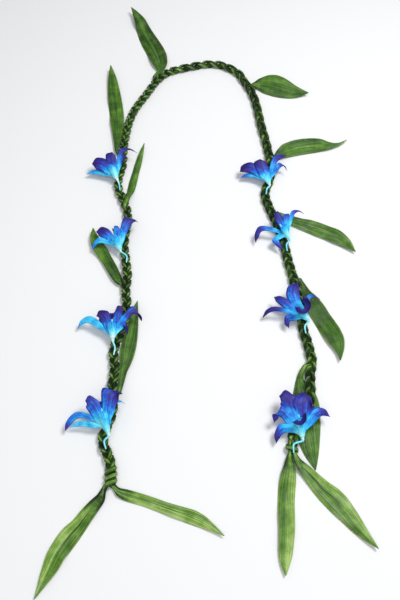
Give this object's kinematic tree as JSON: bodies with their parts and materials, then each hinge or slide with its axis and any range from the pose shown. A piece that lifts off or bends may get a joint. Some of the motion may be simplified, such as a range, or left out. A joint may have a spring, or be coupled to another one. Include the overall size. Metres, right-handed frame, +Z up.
{
  "type": "ti leaf orchid lei",
  "caption": "Open lei of plaited ti leaves with leaf tips and blue orchids along it, laid flat in a long U with trailing leaf ends.",
  "frame": {"origin": "middle of the footprint, on the surface that the lei lies on", "axes": "+Z up, +Y along the U towards its closed end, so that the left side of the U is at -X"},
  "size_m": [0.3474, 0.8204, 0.0367],
  "materials": {
    "ti_leaf": "satin",
    "orchid_petal": "satin",
    "orchid_lip": "satin"
  },
  "bodies": {
    "root": {"leaf_left_1": "ti_leaf", "leaf_left_2": "ti_leaf", "leaf_left_3": "ti_leaf", "leaf_left_4": "ti_leaf", "leaf_left_5": "ti_leaf", "leaf_right_1": "ti_leaf", "leaf_right_2": "ti_leaf", "leaf_right_3": "ti_leaf", "leaf_right_4": "ti_leaf", "leaf_right_5": "ti_leaf", "leaf_tail_left_inner": "ti_leaf", "leaf_tail_left_outer": "ti_leaf", "leaf_tail_right_inner": "ti_leaf", "leaf_tail_right_outer": "ti_leaf", "leaf_tie_right": "ti_leaf", "orchid_left_1": "orchid_petal", "orchid_left_1_lip": "orchid_lip", "orchid_left_2": "orchid_petal", "orchid_left_2_lip": "orchid_lip", "orchid_left_3": "orchid_petal", "orchid_left_3_lip": "orchid_lip", "orchid_left_4": "orchid_petal", "orchid_left_4_lip": "orchid_lip", "orchid_right_1": "orchid_petal", "orchid_right_1_lip": "orchid_lip", "orchid_right_2": "orchid_petal", "orchid_right_2_lip": "orchid_lip", "orchid_right_3": "orchid_petal", "orchid_right_3_lip": "orchid_lip", "orchid_right_4": "orchid_petal", "orchid_right_4_lip": "orchid_lip"}
  },
  "joints": []
}
